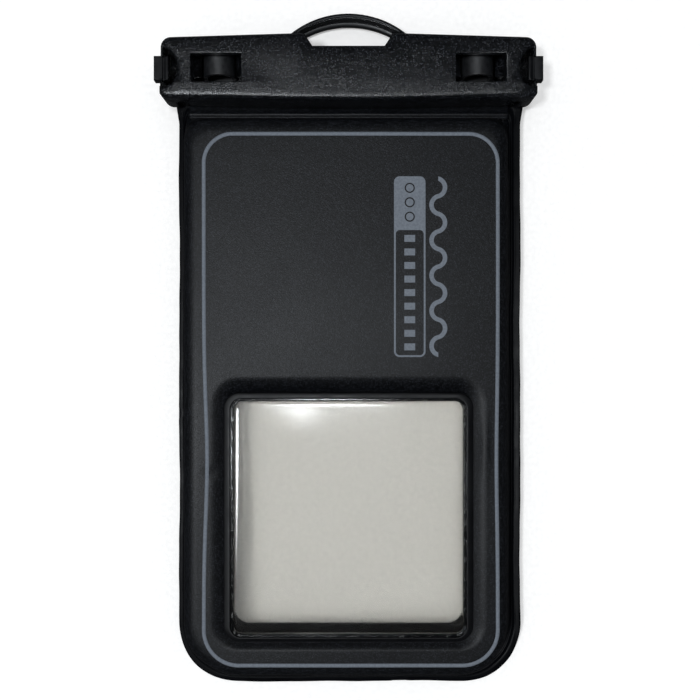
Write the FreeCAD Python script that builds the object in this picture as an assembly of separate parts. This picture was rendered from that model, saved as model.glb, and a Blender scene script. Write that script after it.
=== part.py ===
"""Floating waterproof phone pouch, lying on its screen side, in millimetres.

X runs across the pouch, Y from its closed end to the clip, and Z up through its thickness.
The origin is under the middle of the whole pouch, on the surface that it lies on.
The bag is a screen-side sheet and a foam-padded camera-side skin, joined by a flat weld all round.
Its mouth lies between the two jaws of the clip, and the camera-side jaw swings up to open it.
"""

import FreeCAD, Part
import math
import os

# Overall sizes
overall_length = 229.0
bag_width = 117.6
clip_width = 124.8
clip_top = 17.0

# Sheets of the bag
sheet = 0.6
window_film = 0.4
lining_film = 0.3
pocket_depth = 8.5
seat_height = 3.7
foam_thickness = 4.2

# Weld round the bag
weld_width = 2.8
weld_bead_height = 0.35
weld_bead_width = 0.8
weld_bead_from_edge = 0.4
bag_corner_radius = 24.0
neck_corner_radius = 3.0

# Clip, seen from above
arch_rise = 9.95
bar_height = 22.55
bar_end_drop = 1.3
bar_bow = 1.0
bar_top_corner = 3.5
bar_low_corner = 3.5
screen_jaw_low_corner = 9.0
bar_edge_radius = 2.0
bar_roll_radius = 5.5
bar_wall = 2.0
screen_jaw_edge_radius = 1.6
part_gap = 0.15
overlap = 0.5
beyond = 1.0

# Finger hole and arch
arch_outer_radius = 31.8
arch_inner_radius = 33.1
arch_band = 1.85
arch_thickness = 3.2
arch_edge_radius = 0.7
hole_floor_half = 12.0
hole_side_half = 16.6
hole_depth_in_bar = 4.35
hole_side_rise = 6.9
hole_bevel = 1.2
arch_root_radius = 6.5

# Latch windows and snap bows
latch_from_end = 18.6
latch_width = 16.8
latch_height = 9.4
latch_from_top = 11.85
latch_well_wall = 1.0
latch_well_depth = 6.0
latch_undercut = 2.4
bow_radius = 5.5
bow_wall = 1.3
bow_crest_below_face = 3.5
bow_length = 7.4
bow_end_clearance = 0.8
lip_clearance = 0.25
lip_height = 2.6

# Hinge of the camera-side jaw
hinge_above_edge = 3.8
hinge_height = 10.0
hinge_trough_clearance = 0.2
pin_radius = 1.0
pin_clearance = 0.06
ear_from_mouth = 0.5
ear_thickness = 1.8
ear_clearance = 0.3
knuckle_radius = 1.7
boss_radius = 1.9
heel_height = 7.0

# Seal
seal_width = 1.8
seal_from_edge = 3.6
seal_above_film = 0.05
seal_height = 3.2
rib_wall = 0.8
rib_tip_above_film = 0.7
trough_ribs = 4
bow_rib = 3

# Mouth of the bag inside the clip
mouth_from_end = 7.4
mouth_depth = 7.0
seat_margin = 0.4

# Lanyard loops at the clip's ends
notch_chord = 14.3
notch_depth = 6.0
notch_wall = 1.2
notch_rim = 1.0
notch_bevel = 0.7
notch_from_edge = 10.7
loop_height = 7.6
loop_reach = 2.0
loop_leg = 4.7
loop_tongue = 4.6
loop_tongue_radius = 1.4
loop_stem_width = 4.0
loop_clearance = 0.3
loop_bar = 1.5
loop_edge_radius = 0.5
loop_top_below_face = 1.3
loop_groove = 0.5
loop_groove_from_end = 1.3
peg_length = 3.0
peg_width = 3.6
peg_height = 2.0
peg_fit = 0.05

# Padded back
pad_taper = 1.2
pad_edge_radius = 4.0
neck_length = 1.6
head_slope = 4.5
head_corner_radius = 8.0
mouth_lip_height = 7.0
basin_depth = 2.2
basin_side = 3.0
basin_head = 6.0
basin_clearance = 0.3

# Camera window
camera_window_width = 80.6
camera_window_length = 79.7
camera_window_from_end = 18.4
camera_window_radius = 3.5
rim_width = 2.5
rim_height = 1.4
rim_edge_radius = 0.9
ledge_width = 1.0
pane_thickness = 0.5
pane_edge_radius = 0.3
pane_below_rim = 0.4

# Screen side
screen_window_half = 39.7
screen_window_from_head = 8.5
screen_window_radius = 5.0
screen_weld = 3.0
tray_taper = 3.0
tray_head_slope = 8.0
tray_corner_radius = 16.0

# Print on the padded back
ink = 0.1
border_half = 49.6
border_from_end = 8.6
border_from_head = 8.4
border_width = 1.25
border_low_radius = 12.4
border_high_radius = 10.3
badge_x = 20.4
badge_width = 10.5
badge_above_basin = 4.6
badge_from_border = 14.8
badge_line = 0.6
badge_radius = 1.9
badge_field = 17.3
ring_radius = 1.7
ring_line = 0.45
ring_count = 3
dash_count = 9
dash_length = 2.3
dash_width = 3.6
wave_x = 29.9
wave_width = 6.0
wave_line = 1.5
wave_count = 10

# Levels worked out from the sizes above
seam_z = seat_height + sheet
weld_top = seam_z + sheet
pocket_floor = sheet + window_film
lining_z = pocket_floor + pocket_depth
foam_z = lining_z + lining_film
foam_top = foam_z + foam_thickness
pad_top = foam_top + sheet
basin_z = pad_top - basin_depth
rim_top = basin_z + rim_height
pane_z = rim_top - pane_below_rim - pane_thickness

bag_half = bag_width / 2
bag_end = -overall_length / 2
arch_top = overall_length / 2
bar_top = arch_top - arch_rise
bar_low = bar_top - bar_height
bar_half = clip_width / 2
bar_low_end = bar_low + bar_bow
foot_half = bag_half - weld_width
foot_end = bag_end + weld_width
pad_head = bar_low - neck_length
part_line = seam_z + part_gap

mouth_half_width = bar_half - mouth_from_end
hinge_y = bar_low + hinge_above_edge
mouth_y = bar_low + mouth_depth
seal_y = bar_low + seal_from_edge + seal_width / 2
latch_y = bar_top - latch_from_top
latch_x = bar_half - latch_from_end
bow_high = latch_y + latch_height / 2 + latch_undercut - bow_end_clearance
bow_low = bow_high - bow_length
bow_crest = clip_top - bow_crest_below_face
ear_x = mouth_half_width + ear_from_mouth
well_z = clip_top - bar_wall - latch_well_depth
face_z = clip_top - bar_wall
notch_y = bar_low + notch_from_edge
notch_radius = ((notch_chord / 2) ** 2 + notch_depth**2) / (2 * notch_depth)
notch_x = bar_half - notch_depth + notch_radius

window_half = camera_window_width / 2
window_low = bag_end + camera_window_from_end
window_high = window_low + camera_window_length
border_low = bag_end + border_from_end
border_high = pad_head - border_from_head
badge_high = border_high - badge_from_border
badge_low = window_high + rim_width + basin_clearance + basin_head + badge_above_basin
badge_length = badge_high - badge_low
screen_low = window_low
screen_high = pad_head - tray_head_slope - screen_window_from_head


def point(x, y, z=0.0):
    return FreeCAD.Vector(x, y, z)


def line(a, b):
    return Part.LineSegment(a, b).toShape()


def arc(a, middle, b):
    return Part.Arc(a, middle, b).toShape()


def box(x, y, z):
    """A box from three (low, high) pairs."""
    return Part.makeBox(x[1] - x[0], y[1] - y[0], z[1] - z[0], point(x[0], y[0], z[0]))


def cylinder_x(radius, x, y, z):
    """A cylinder along X between the two values of x."""
    return Part.makeCylinder(radius, x[1] - x[0], point(x[0], y, z), point(1, 0, 0))


def rise(wire, height):
    """A closed wire extruded upwards."""
    return Part.Face(wire).extrude(point(0, 0, height))


def outline(half, low, high, low_radius, high_radius, z):
    """A rounded rectangle about X = 0, with one radius at its low corners and one at its high corners."""
    bend = math.sqrt(0.5)
    edges = []
    corners = [
        (half - low_radius, low + low_radius, low_radius, 1, -1),
        (half - high_radius, high - high_radius, high_radius, 1, 1),
        (high_radius - half, high - high_radius, high_radius, -1, 1),
        (low_radius - half, low + low_radius, low_radius, -1, -1),
    ]
    arcs = []
    for cx, cy, radius, sx, sy in corners:
        across = point(cx + sx * radius, cy, z)
        along = point(cx, cy + sy * radius, z)
        middle = point(cx + sx * radius * bend, cy + sy * radius * bend, z)
        ends = (along, across) if sx * sy < 0 else (across, along)
        arcs.append((ends[0], middle, ends[1]))
    for number, (start, middle, stop) in enumerate(arcs):
        edges.append(arc(start, middle, stop))
        edges.append(line(stop, arcs[(number + 1) % 4][0]))
    return Part.Wire(edges)


def edges_at(shape, z):
    """The edges of a shape that lie wholly at one height."""
    return [
        edge
        for edge in shape.Edges
        if abs(edge.BoundBox.ZMin - z) < 1e-4 and abs(edge.BoundBox.ZMax - z) < 1e-4
    ]


def mirrored(shape):
    """The same shape on the other side of X = 0."""
    return shape.mirror(point(0, 0, 0), point(1, 0, 0))


def pad_block(inset):
    """The padded back without its basin, taken in by a wall's thickness."""
    top = pad_top - inset
    foot = outline(
        foot_half - inset, foot_end + inset, pad_head - inset,
        bag_corner_radius - weld_width - inset, neck_corner_radius, seam_z,
    )
    crown = outline(
        foot_half - pad_taper - inset, foot_end + pad_taper + inset, pad_head - head_slope - inset,
        bag_corner_radius - weld_width - pad_taper - inset, head_corner_radius, top,
    )
    block = Part.makeLoft([foot, crown], True, True)
    return block.makeFillet(pad_edge_radius - inset, edges_at(block, top))


def basin(inset):
    """The hollow round the camera window, steepest at its sides and long at its head."""
    half = window_half + rim_width + basin_clearance + inset
    low = window_low - rim_width - basin_clearance - inset
    high = window_high + rim_width + basin_clearance + inset
    radius = camera_window_radius + rim_width + inset
    floor = outline(half, low, high, radius, radius, basin_z - inset)
    brim = outline(
        half + basin_side, low - basin_side, high + basin_head,
        radius + basin_side, radius + basin_side, pad_top + sheet,
    )
    return Part.makeLoft([floor, brim], True, True)


def pad_form(inset):
    """The whole form of the padded back, taken in by a wall's thickness."""
    return pad_block(inset).cut(basin(inset))


def window_prism(margin, low_z, high_z):
    """The camera window's outline, grown by a margin, between two heights."""
    radius = camera_window_radius + margin
    wire = outline(window_half + margin, window_low - margin, window_high + margin, radius, radius, low_z)
    return rise(wire, high_z - low_z)


def bag_outline(inset, z):
    """The outer edge of the bag's weld, taken in by an inset."""
    return outline(
        bag_half - inset, bag_end + inset, bar_low - inset,
        bag_corner_radius - inset, neck_corner_radius, z,
    )


def back_skin():
    """Camera-side skin: top, sloping sides and the upper layer of the weld, with its outer bead."""
    skin = pad_form(0).cut(pad_form(sheet))
    layer = rise(bag_outline(0, seam_z), sheet)
    bead = rise(bag_outline(weld_bead_from_edge, weld_top - sheet / 2), sheet / 2 + weld_bead_height)
    bead_low = bag_outline(weld_bead_from_edge + weld_bead_width, weld_top - sheet / 2)
    bead_inside = rise(bead_low, sheet / 2 + weld_bead_height)
    layer = layer.fuse(bead.cut(bead_inside))
    layer = layer.cut(pad_block(0))
    skin = skin.fuse(layer)
    mouth = box(
        (-mouth_half_width, mouth_half_width),
        (pad_head - head_slope - pad_edge_radius, bar_low + sheet),
        (seam_z - sheet, mouth_lip_height),
    )
    window = window_prism(rim_width, seam_z, pad_top)
    return skin.cut(mouth).cut(window).removeSplitter()


def foam_pad():
    """Closed-cell foam that keeps the pouch afloat, between the skin and the lining."""
    inside = pad_form(sheet)
    below = box((-bag_half, bag_half), (bag_end, bar_low), (0, foam_z))
    return inside.cut(below).cut(window_prism(rim_width, foam_z - sheet, pad_top))


def pocket_lining():
    """Film under the foam, which is the ceiling of the phone's pocket."""
    slab = box((-bag_half, bag_half), (bag_end, bar_low), (lining_z, foam_z))
    return slab.common(pad_block(sheet)).cut(window_prism(rim_width, lining_z - sheet, foam_z + sheet))


def window_rim():
    """Raised frame round the camera window, with a ledge for the clear pane."""
    frame = window_prism(rim_width, lining_z, rim_top)
    frame = frame.makeFillet(rim_edge_radius, edges_at(frame, rim_top))
    frame = frame.cut(window_prism(0, pane_z, rim_top + sheet))
    return frame.cut(window_prism(-ledge_width, lining_z - sheet, pane_z + sheet))


def camera_window():
    """Clear pane with a formed, rounded edge."""
    pane = window_prism(0, pane_z, pane_z + pane_thickness)
    return pane.makeFillet(pane_edge_radius, edges_at(pane, pane_z + pane_thickness))


def tray(inset):
    """The form of the screen side, from the surface that it lies on up to the weld."""
    low = outline(
        foot_half - tray_taper - inset, foot_end + tray_taper + inset, pad_head - tray_head_slope - inset,
        tray_corner_radius - inset, neck_corner_radius, inset,
    )
    high = outline(
        foot_half - inset, foot_end + inset, pad_head - inset,
        bag_corner_radius - weld_width - inset, neck_corner_radius, seam_z,
    )
    return Part.makeLoft([low, high], True, True)


def front_frame():
    """Screen-side sheet: black border, sloping sides, lower layer of the weld and the mouth's lower lip."""
    shell = tray(0).cut(tray(sheet))
    layer = rise(bag_outline(0, seat_height), sheet).cut(tray(0))
    lip = box((-mouth_half_width, mouth_half_width), (bar_low - sheet, mouth_y), (seat_height, seam_z))
    opening = rise(
        outline(screen_window_half, screen_low, screen_high, screen_window_radius, screen_window_radius, -sheet),
        3 * sheet,
    )
    return shell.fuse(layer).fuse(lip).cut(opening).removeSplitter()


def front_window():
    """Clear film over the phone's screen, welded inside the border."""
    wire = outline(
        screen_window_half + screen_weld, screen_low - screen_weld, screen_high + screen_weld,
        screen_window_radius + screen_weld, screen_window_radius + screen_weld, sheet,
    )
    return rise(wire, window_film)


def neck_flap():
    """Camera-side lip of the mouth: it drops from the padded head to the clip, and lies on the lower lip."""
    bend_y = bar_low + seal_from_edge
    start_y = pad_head - head_slope * (mouth_lip_height - seam_z) / (pad_top - seam_z)
    tilt = math.atan2(mouth_lip_height - weld_top, bend_y - start_y)
    lean = sheet * math.tan(tilt / 2)
    corners = [
        (start_y, mouth_lip_height), (bend_y, weld_top), (mouth_y, weld_top),
        (mouth_y, seam_z), (bend_y - lean, seam_z), (start_y, mouth_lip_height - sheet / math.cos(tilt)),
    ]
    points = [point(-mouth_half_width, y, z) for y, z in corners]
    wire = Part.makePolygon(points + points[:1])
    return Part.Face(wire).extrude(point(2 * mouth_half_width, 0, 0))


def bar_outline(inset, z, low_corner=bar_low_corner):
    """The clip's bar from above: bowed low edge, and a top edge that falls towards both ends."""
    half = bar_half - inset
    low_end = bar_low_end + inset
    high_end = bar_top - bar_end_drop - inset
    low_radius = low_corner - inset / 2
    high_radius = bar_top_corner - inset / 2
    top = bar_top - inset
    bend = 1 - math.sqrt(0.5)
    low_right = point(half - low_radius, low_end, z)
    low_left = point(low_radius - half, low_end, z)
    right_low = point(half, low_end + low_radius, z)
    right_high = point(half, high_end - high_radius, z)
    high_right = point(half - high_radius, high_end, z)
    arch_right = point(hole_side_half, top, z)
    arch_left = point(-hole_side_half, top, z)
    high_left = point(high_radius - half, high_end, z)
    left_high = point(-half, high_end - high_radius, z)
    left_low = point(-half, low_end + low_radius, z)
    return Part.Wire([
        arc(low_left, point(0, bar_low + inset, z), low_right),
        arc(low_right, point(half - low_radius * bend, low_end + low_radius * bend, z), right_low),
        line(right_low, right_high),
        arc(right_high, point(half - high_radius * bend, high_end - high_radius * bend, z), high_right),
        line(high_right, arch_right),
        line(arch_right, arch_left),
        line(arch_left, high_left),
        arc(high_left, point(high_radius * bend - half, high_end - high_radius * bend, z), left_high),
        line(left_high, left_low),
        arc(left_low, point(low_radius * bend - half, low_end + low_radius * bend, z), low_left),
    ])


def edge_roll(inset):
    """What the big roll of the low edge takes off: it turns about a far axis, so it bows as the edge does."""
    half = bar_half - bar_low_corner
    turn = (half**2 + bar_bow**2) / (2 * bar_bow)
    radius = bar_roll_radius - inset
    bend = math.sqrt(0.5)
    near = bar_roll_radius + bar_low
    level = clip_top - bar_roll_radius
    corners = [
        point(0, near, level + radius), point(0, near, clip_top + 1),
        point(0, bar_low - 1, clip_top + 1), point(0, bar_low - 1, level), point(0, near - radius, level),
    ]
    edges = [line(a, b) for a, b in zip(corners, corners[1:])]
    middle = point(0, near - radius * bend, level + radius * bend)
    edges.append(arc(corners[-1], middle, corners[0]))
    face = Part.Face(Part.Wire(edges))
    spread = math.degrees(math.asin(bar_half / turn)) + 1
    centre = point(0, bar_low + turn, 0)
    face.rotate(centre, point(0, 0, 1), -spread)
    return face.revolve(centre, point(0, 0, 1), 2 * spread)


def arc_height(radius, top, x):
    """The height at x of a circular arc whose highest point is at top."""
    return top - radius + math.sqrt(radius**2 - x**2)


def arch_plate(low_z, high_z, rounded_z):
    """The arched grip over the finger hole, a slice of a disc with a softened edge at one face."""
    foot_y = bar_top - bar_wall
    drop = arch_top - foot_y
    half = math.sqrt(arch_outer_radius**2 - (arch_outer_radius - drop) ** 2)
    wire = Part.Wire([
        line(point(-half, foot_y, low_z), point(half, foot_y, low_z)),
        arc(point(half, foot_y, low_z), point(0, arch_top, low_z), point(-half, foot_y, low_z)),
    ])
    plate = rise(wire, high_z - low_z)
    crest = [
        edge
        for edge in edges_at(plate, rounded_z)
        if edge.BoundBox.YMax > bar_top
    ]
    plate = plate.makeFillet(arch_edge_radius, crest)
    root = arch_root(low_z, high_z)
    return plate.fuse(root).fuse(mirrored(root))


def arch_root(low_z, high_z):
    """The concave corner between the right foot of the arch and the bar's top edge."""
    centre_y = arch_top - arch_outer_radius
    foot_x = math.sqrt(arch_outer_radius**2 - (bar_top - centre_y) ** 2)
    slope = bar_end_drop / (bar_half - bar_top_corner - hole_side_half)
    edge_y = bar_top - slope * (foot_x + arch_root_radius / 2 - hole_side_half)
    reach = arch_outer_radius + arch_root_radius
    along = (edge_y + arch_root_radius - centre_y) / reach
    across = math.sqrt(1 - along**2)
    x = across * reach
    on_arch = point(across * arch_outer_radius, centre_y + along * arch_outer_radius, low_z)
    on_edge = point(x, edge_y, low_z)
    turn = math.atan2(across, along) / 2
    middle = point(
        x - arch_root_radius * math.sin(turn), edge_y + arch_root_radius * (1 - math.cos(turn)), low_z,
    )
    under = point(x, edge_y - overlap, low_z)
    inside = point(across * arch_outer_radius, edge_y - overlap, low_z)
    wire = Part.Wire([
        line(on_arch, inside), line(inside, under), line(under, on_edge), arc(on_edge, middle, on_arch),
    ])
    return rise(wire, high_z - low_z)


def finger_hole(grow, low_z, high_z):
    """The hole under the arch, cut down into the bar."""
    top = arch_top - arch_band + grow
    half = hole_side_half + grow
    floor_y = bar_top - hole_depth_in_bar - grow
    floor_half = hole_floor_half + grow
    side_y = floor_y + hole_side_rise + grow
    crown_y = min(arc_height(arch_inner_radius, top, half), top)
    wire = Part.Wire([
        line(point(-floor_half, floor_y, low_z), point(floor_half, floor_y, low_z)),
        line(point(floor_half, floor_y, low_z), point(half, side_y, low_z)),
        line(point(half, side_y, low_z), point(half, crown_y, low_z)),
        arc(point(half, crown_y, low_z), point(0, top, low_z), point(-half, crown_y, low_z)),
        line(point(-half, crown_y, low_z), point(-half, side_y, low_z)),
        line(point(-half, side_y, low_z), point(-floor_half, floor_y, low_z)),
    ])
    return rise(wire, high_z - low_z)


def hole_rim():
    """The bevel round the finger hole on the camera side, which widens to the face."""
    wires = []
    for grow, z in ((0, clip_top - hole_bevel), (2 * hole_bevel, clip_top + hole_bevel)):
        wires.append(Part.Wire(Part.__sortEdges__(edges_at(finger_hole(grow, z, z + beyond), z))))
    return Part.makeLoft(wires, True, True)


def end_notch(grow, low_z, high_z):
    """The round notch at the right end of the bar, where a lanyard passes."""
    return Part.makeCylinder(notch_radius + grow, high_z - low_z, point(notch_x, notch_y, low_z))


def notch_rim_bevel():
    """The bevel round the right notch, which widens to the face."""
    return Part.makeCone(
        notch_radius, notch_radius + 2 * notch_bevel, 2 * notch_bevel, point(notch_x, notch_y, clip_top - notch_bevel),
    )


def notch_walls(form):
    """What stays of the right end wall outside the notch, clear of the loop while the jaw swings."""
    x = (bar_half - notch_rim, bar_half)
    strip = end_notch(part_gap, part_line, clip_top)
    near = strip.common(box(x, (bar_low, notch_y - loop_height / 2 - loop_clearance), (part_line, clip_top)))
    far = strip.common(box(x, (notch_y, bar_top), (part_line, clip_top)))
    sweep = math.hypot(notch_y + loop_height / 2 - hinge_y, clip_top - loop_top_below_face - hinge_height)
    room = cylinder_x(sweep + loop_clearance, (x[0] - beyond, x[1] + beyond), hinge_y, hinge_height)
    return form.common(near.fuse(far.cut(room)))


def latch_box(grow, low_z, high_z, undercut=0.0):
    """The right latch window, grown by a margin, between two heights, and longer under the face by the undercut."""
    half_x = latch_width / 2 + grow
    half_y = latch_height / 2 + grow
    y = (latch_y - half_y, latch_y + half_y + undercut)
    return box((latch_x - half_x, latch_x + half_x), y, (low_z, high_z))


def snap_lips():
    """Two wedges inside the right latch well, which the bow snaps past."""
    tip = bow_radius + lip_clearance
    middle = well_z + lip_height / 2
    lips = []
    for side in (-1, 1):
        wall = latch_width / 2 + latch_well_wall / 2
        corners = [
            point(latch_x + side * wall, bow_low, well_z),
            point(latch_x + side * tip, bow_low, middle),
            point(latch_x + side * wall, bow_low, well_z + lip_height),
        ]
        lips.append(Part.Face(Part.makePolygon(corners + corners[:1])).extrude(point(0, bow_length, 0)))
    return lips[0].fuse(lips[1])


def seal_channel():
    """Two ribs under the jaw's face that hold the seal strip."""
    half = mouth_half_width - ear_clearance
    tip = weld_top + rib_tip_above_film
    half_y = seal_width / 2 + rib_wall
    return box((-half, half), (seal_y - half_y, seal_y + half_y), (tip, face_z))


def seal_strip():
    """Soft strip that presses the bag's two lips together."""
    low = weld_top + seal_above_film
    half = mouth_half_width - ear_clearance
    half_y = seal_width / 2
    return box((-half, half), (seal_y - half_y, seal_y + half_y), (low, low + seal_height))


def trunnion():
    """Right hinge pin of the camera-side jaw, moulded on a boss on the end wall."""
    boss = cylinder_x(boss_radius, (ear_x + ear_thickness + ear_clearance, bar_half - bar_wall), hinge_y, hinge_height)
    pin = cylinder_x(pin_radius, (ear_x - ear_clearance, bar_half - bar_wall), hinge_y, hinge_height)
    return boss.fuse(pin)


def camera_side_jaw():
    """Deep jaw that swings up: hollow, with latch windows, finger hole, seal channel and hinge pins."""
    form = rise(bar_outline(0, part_line), clip_top - part_line)
    form = form.makeFillet(bar_edge_radius, edges_at(form, clip_top)).cut(edge_roll(0))
    arch = arch_plate(part_line, part_line + arch_thickness, part_line + arch_thickness)
    hole = finger_hole(0, 0, clip_top + beyond).fuse(hole_rim())
    walls = notch_walls(form)
    hollow = rise(bar_outline(bar_wall, part_line), face_z - part_line)
    hollow = hollow.cut(finger_hole(bar_wall, 0, clip_top)).cut(edge_roll(bar_wall))
    for end in (end_notch(notch_wall, 0, clip_top), mirrored(end_notch(notch_wall, 0, clip_top))):
        hollow = hollow.cut(end)
    jaw = form.cut(hollow)
    channel = seal_channel()
    well = latch_box(latch_well_wall, well_z, face_z + overlap, latch_undercut)
    shaft = latch_box(0, 0, face_z, latch_undercut).fuse(latch_box(0, 0, clip_top + beyond))
    lips = snap_lips()
    hinge = trunnion()
    slot = (ear_x - ear_clearance, ear_x + ear_thickness + ear_clearance)
    reach = knuckle_radius + ear_clearance
    room = cylinder_x(reach, slot, hinge_y, hinge_height)
    room = room.fuse(box(slot, (hinge_y, hinge_y + reach), (0, hinge_height)))
    room = room.fuse(box(slot, (bar_low - beyond, hinge_y), (0, hinge_height + reach)))
    jaw = jaw.fuse(channel).fuse(well).fuse(mirrored(well))
    jaw = jaw.cut(shaft).cut(mirrored(shaft))
    jaw = jaw.cut(room).cut(mirrored(room))
    jaw = jaw.fuse(lips).fuse(mirrored(lips)).fuse(hinge).fuse(mirrored(hinge))
    jaw = jaw.fuse(arch).cut(hole)
    notch = end_notch(0, 0, clip_top + beyond).fuse(notch_rim_bevel())
    jaw = jaw.cut(notch).cut(mirrored(notch)).fuse(walls).fuse(mirrored(walls))
    heel = box(
        (-bar_half - beyond, bar_half + beyond), (bar_low - beyond, bar_low_end + bar_wall), (0, heel_height),
    )
    strip = seal_strip()
    return jaw.cut(heel).cut(strip).removeSplitter()


def screen_side_jaw():
    """Flat jaw under the bag's mouth: film seat, ribbed trough, hinge ears and the lower half of the arch."""
    form = rise(bar_outline(0, 0, screen_jaw_low_corner), seam_z)
    form = form.makeFillet(screen_jaw_edge_radius, edges_at(form, 0))
    arch = arch_plate(seam_z - arch_thickness, seam_z, seam_z - arch_thickness)
    seat_cut = box(
        (-mouth_half_width - seat_margin, mouth_half_width + seat_margin),
        (bar_low - beyond, mouth_y + seat_margin),
        (seat_height, clip_top),
    )
    trough_z = screen_jaw_edge_radius + seat_margin
    trough = rise(bar_outline(bar_wall, trough_z), clip_top)
    trough = trough.cut(box((-bar_half, bar_half), (bar_low - beyond, mouth_y + 2 * seat_margin), (0, clip_top)))
    trough = trough.cut(finger_hole(bar_wall, 0, clip_top + trough_z))
    rib_pitch = latch_x / bow_rib
    for number in range(-trough_ribs, trough_ribs + 1):
        x = number * rib_pitch
        rib = box((x - rib_wall / 2, x + rib_wall / 2), (mouth_y, bar_top), (0, seat_height))
        if abs(number) != bow_rib:
            trough = trough.cut(rib)
    for end in (end_notch(notch_wall, 0, clip_top), mirrored(end_notch(notch_wall, 0, clip_top))):
        trough = trough.cut(end)
    corner = rise(bar_outline(0, seam_z, screen_jaw_low_corner), heel_height - part_gap - seam_z)
    corner = corner.common(
        box((ear_x, bar_half), (bar_low, bar_low_end + bar_wall - part_gap), (0, heel_height))
    )
    heel_reach = math.hypot(hinge_above_edge, hinge_height - heel_height)
    corner = corner.cut(
        cylinder_x(heel_reach + hinge_trough_clearance, (ear_x - beyond, bar_half + beyond), hinge_y, hinge_height)
    )
    ear = cylinder_x(knuckle_radius, (ear_x, ear_x + ear_thickness), hinge_y, hinge_height)
    stem = box(
        (ear_x, ear_x + ear_thickness),
        (hinge_y - knuckle_radius, hinge_y + knuckle_radius),
        (seat_height, hinge_height),
    )
    bore = cylinder_x(pin_radius + pin_clearance, (ear_x - beyond, ear_x + ear_thickness + beyond), hinge_y, hinge_height)
    ear = ear.fuse(stem).cut(bore)
    socket = loop_peg(peg_fit)
    jaw = form.cut(seat_cut).cut(trough).fuse(arch).fuse(corner).fuse(mirrored(corner))
    jaw = jaw.fuse(ear).fuse(mirrored(ear))
    jaw = jaw.cut(socket).cut(mirrored(socket))
    return jaw.cut(finger_hole(0, -beyond, clip_top)).removeSplitter()


def loop_peg(grow):
    """The peg that holds the right lanyard loop in the screen-side jaw."""
    middle_z = seam_z / 2
    return box(
        (bar_half - peg_length - grow, bar_half + loop_reach / 2),
        (notch_y - peg_width / 2 - grow, notch_y + peg_width / 2 + grow),
        (middle_z - peg_height / 2 - grow, middle_z + peg_height / 2 + grow),
    )


def lanyard_loop():
    """Right hook-shaped bar for a lanyard: a stem on the jaw's end, a rounded tongue and a leg over the notch."""
    inner = bar_half + 2 * part_gap
    outer = bar_half + loop_reach
    top = clip_top - loop_top_below_face
    y = (notch_y - loop_height / 2, notch_y + loop_height / 2)
    stem_y = (notch_y - loop_stem_width / 2, notch_y + loop_stem_width / 2)
    foot = box((bar_half, outer), stem_y, (screen_jaw_edge_radius / 2, seam_z))
    stem = box((inner, outer), stem_y, (seam_z - overlap, top - overlap))
    tongue = box((inner, outer), y, (top - loop_tongue, top))
    low_corners = [
        edge
        for edge in edges_at(tongue, top - loop_tongue)
        if edge.BoundBox.YLength < overlap
    ]
    tongue = tongue.makeFillet(loop_tongue_radius, low_corners)
    leg = box((outer - loop_leg, outer), y, (top - loop_bar, top))
    upper = tongue.fuse(leg).removeSplitter()
    crest = [edge for edge in edges_at(upper, top) if edge.Length > loop_leg]
    upper = upper.makeFillet(loop_edge_radius, crest)
    groove_x = bar_half - loop_groove_from_end
    upper = upper.cut(box((groove_x, groove_x + loop_groove), y, (top - loop_groove, top)))
    return foot.fuse(stem).fuse(upper).fuse(loop_peg(0)).removeSplitter()


def snap_bow():
    """Right snap bow: an arched strip on two legs, seen through the latch window."""
    centre_z = bow_crest - bow_radius
    floor_z = screen_jaw_edge_radius + seat_margin
    outer = Part.makeCylinder(bow_radius, bow_length, point(latch_x, bow_low, centre_z), point(0, 1, 0))
    inner_radius = bow_radius - bow_wall
    inner = Part.makeCylinder(inner_radius, bow_length, point(latch_x, bow_low, centre_z), point(0, 1, 0))
    y = (bow_low, bow_high)
    legs = box((latch_x - bow_radius, latch_x + bow_radius), y, (floor_z, centre_z))
    between = box((latch_x - inner_radius, latch_x + inner_radius), y, (floor_z + bow_wall, centre_z))
    return outer.fuse(legs).cut(inner).cut(between).removeSplitter()


def printed_border():
    """Grey line printed round the padded back."""
    def loop(inset):
        return rise(
            outline(
                border_half - inset, border_low + inset, border_high - inset,
                border_low_radius - inset, border_high_radius - inset, pad_top,
            ),
            ink,
        )

    return loop(0).cut(loop(border_width))


def printed_badge():
    """Printed box with a solid field at one end, plain rings in the field and plain dashes below it."""
    def panel(inset, low, high):
        wire = outline(badge_width / 2 - inset, low + inset, high - inset, badge_radius - inset, badge_radius - inset, pad_top)
        shape = rise(wire, ink)
        shape.translate(point(badge_x, 0, 0))
        return shape

    frame = panel(0, badge_low, badge_high)
    frame = frame.cut(panel(badge_line, badge_low, badge_high - badge_field))
    ring_step = badge_field / (ring_count + 0.6)
    for number in range(ring_count):
        centre = point(badge_x, badge_high - ring_step * (number + 0.8), pad_top)
        ring = Part.makeCylinder(ring_radius, ink, centre)
        frame = frame.cut(ring.cut(Part.makeCylinder(ring_radius - ring_line, ink, centre)))
    step = (badge_length - badge_field) / (dash_count + 0.5)
    for number in range(dash_count):
        y = badge_low + step * (number + 0.75)
        frame = frame.fuse(box(
            (badge_x - dash_width / 2, badge_x + dash_width / 2),
            (y - dash_length / 2, y + dash_length / 2),
            (pad_top, pad_top + ink),
        ))
    return frame


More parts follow.
